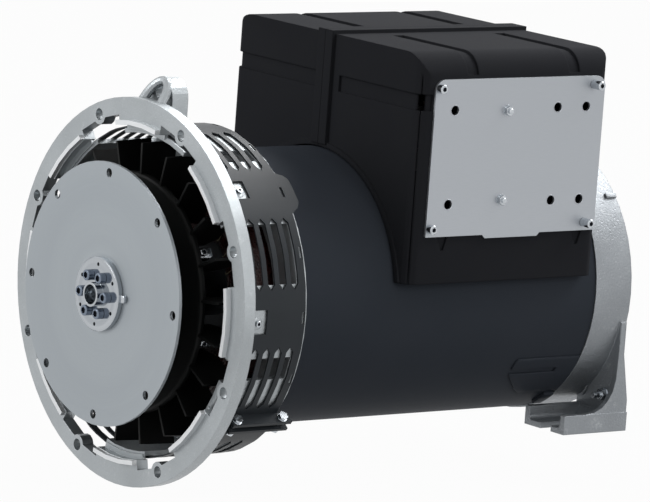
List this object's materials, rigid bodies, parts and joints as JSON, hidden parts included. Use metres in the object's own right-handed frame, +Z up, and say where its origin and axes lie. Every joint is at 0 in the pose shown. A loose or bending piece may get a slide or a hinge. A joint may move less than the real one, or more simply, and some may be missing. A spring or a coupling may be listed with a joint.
{
  "type": "generator alternator head",
  "caption": "Single-bearing alternator head: bolted engine flange, flexible drive disc, slotted air screen, cylindrical stator, terminal box and rear feet.",
  "frame": {"origin": "middle of the bounding box's base, under the shaft axis", "axes": "+Y along the shaft from the engine flange to the rear end, +Z up, +X to the side that has the outlet plate"},
  "size_m": [0.3556, 0.5394, 0.4163],
  "materials": {
    "cast_aluminium": "as cast, light blasted grey",
    "rear_cast_aluminium": "as cast, light grey",
    "painted_screen": "satin charcoal paint on sheet steel",
    "painted_housing": "satin charcoal paint on rolled steel",
    "moulded_box": "fine matte black moulding",
    "zinc_plate": "zinc-plated sheet",
    "saddle_steel": "plain sheet steel",
    "drive_disc_steel": "cold-rolled spring steel",
    "turned_clamp_steel": "fine turned and polished steel",
    "zinc_fasteners": "bright zinc plating",
    "machined_steel": "machined steel",
    "bearing_steel": "ground bearing steel",
    "lamination_steel": "varnished electrical sheet",
    "varnished_copper": "dark red winding varnish",
    "fan_nylon": "matte black moulding",
    "board_phenolic": "brown phenolic board",
    "regulator_resin": "potted resin block"
  },
  "bodies": {
    "stator": {"front_shield": "cast_aluminium", "vent_screen": "painted_screen", "screen_lower_panel": "painted_screen", "clamp_bolt_1": "zinc_fasteners", "clamp_bolt_2": "zinc_fasteners", "clamp_bolt_3": "zinc_fasteners", "clamp_bolt_4": "zinc_fasteners", "stator_housing": "painted_housing", "stator_core": "lamination_steel", "stator_winding": "varnished_copper", "tie_rod_1": "zinc_fasteners", "tie_rod_2": "zinc_fasteners", "tie_rod_3": "zinc_fasteners", "tie_rod_4": "zinc_fasteners", "rear_shield": "rear_cast_aluminium", "bearing_outer_race": "bearing_steel", "inlet_grille": "painted_screen", "terminal_box_right": "moulded_box", "terminal_box_left": "moulded_box", "outlet_plate": "zinc_plate", "plate_screw_1": "zinc_fasteners", "plate_screw_2": "zinc_fasteners", "plate_screw_3": "zinc_fasteners", "plate_screw_4": "zinc_fasteners", "plate_stud_1": "zinc_fasteners", "plate_stud_2": "zinc_fasteners", "box_saddle": "saddle_steel", "terminal_board": "board_phenolic", "voltage_regulator": "regulator_resin", "earth_stud": "zinc_fasteners", "exciter_stator": "varnished_copper"},
    "rotor": {"shaft": "machined_steel", "rotor_core": "lamination_steel", "field_coil_1": "varnished_copper", "field_coil_2": "varnished_copper", "field_coil_3": "varnished_copper", "field_coil_4": "varnished_copper", "cooling_fan": "fan_nylon", "balance_weight_1": "zinc_fasteners", "balance_weight_2": "zinc_fasteners", "coupling_hub": "machined_steel", "drive_disc": "drive_disc_steel", "clamp_ring": "turned_clamp_steel", "hub_screw_1": "zinc_fasteners", "hub_screw_2": "zinc_fasteners", "hub_screw_3": "zinc_fasteners", "hub_screw_4": "zinc_fasteners", "hub_screw_5": "zinc_fasteners", "hub_screw_6": "zinc_fasteners", "exciter_rotor": "lamination_steel", "rectifier_plate": "zinc_plate", "bearing_inner_race": "bearing_steel"},
    "bearing_cage": {"bearing_cage": "bearing_steel"}
  },
  "joints": [
    {"name": "rotor_spin", "type": "hinge", "parent": "stator", "child": "rotor", "pos_m": [0, -0.02735, 0.1778], "axis": [0, 1, 0], "continuous": true},
    {"name": "cage_spin", "type": "hinge", "parent": "stator", "child": "bearing_cage", "pos_m": [0, 0.24565, 0.1778], "axis": [0, 1, 0], "continuous": true}
  ],
  "couplings": [
    {"joint": "cage_spin", "follows": "rotor_spin", "ratio": 0.383}
  ]
}
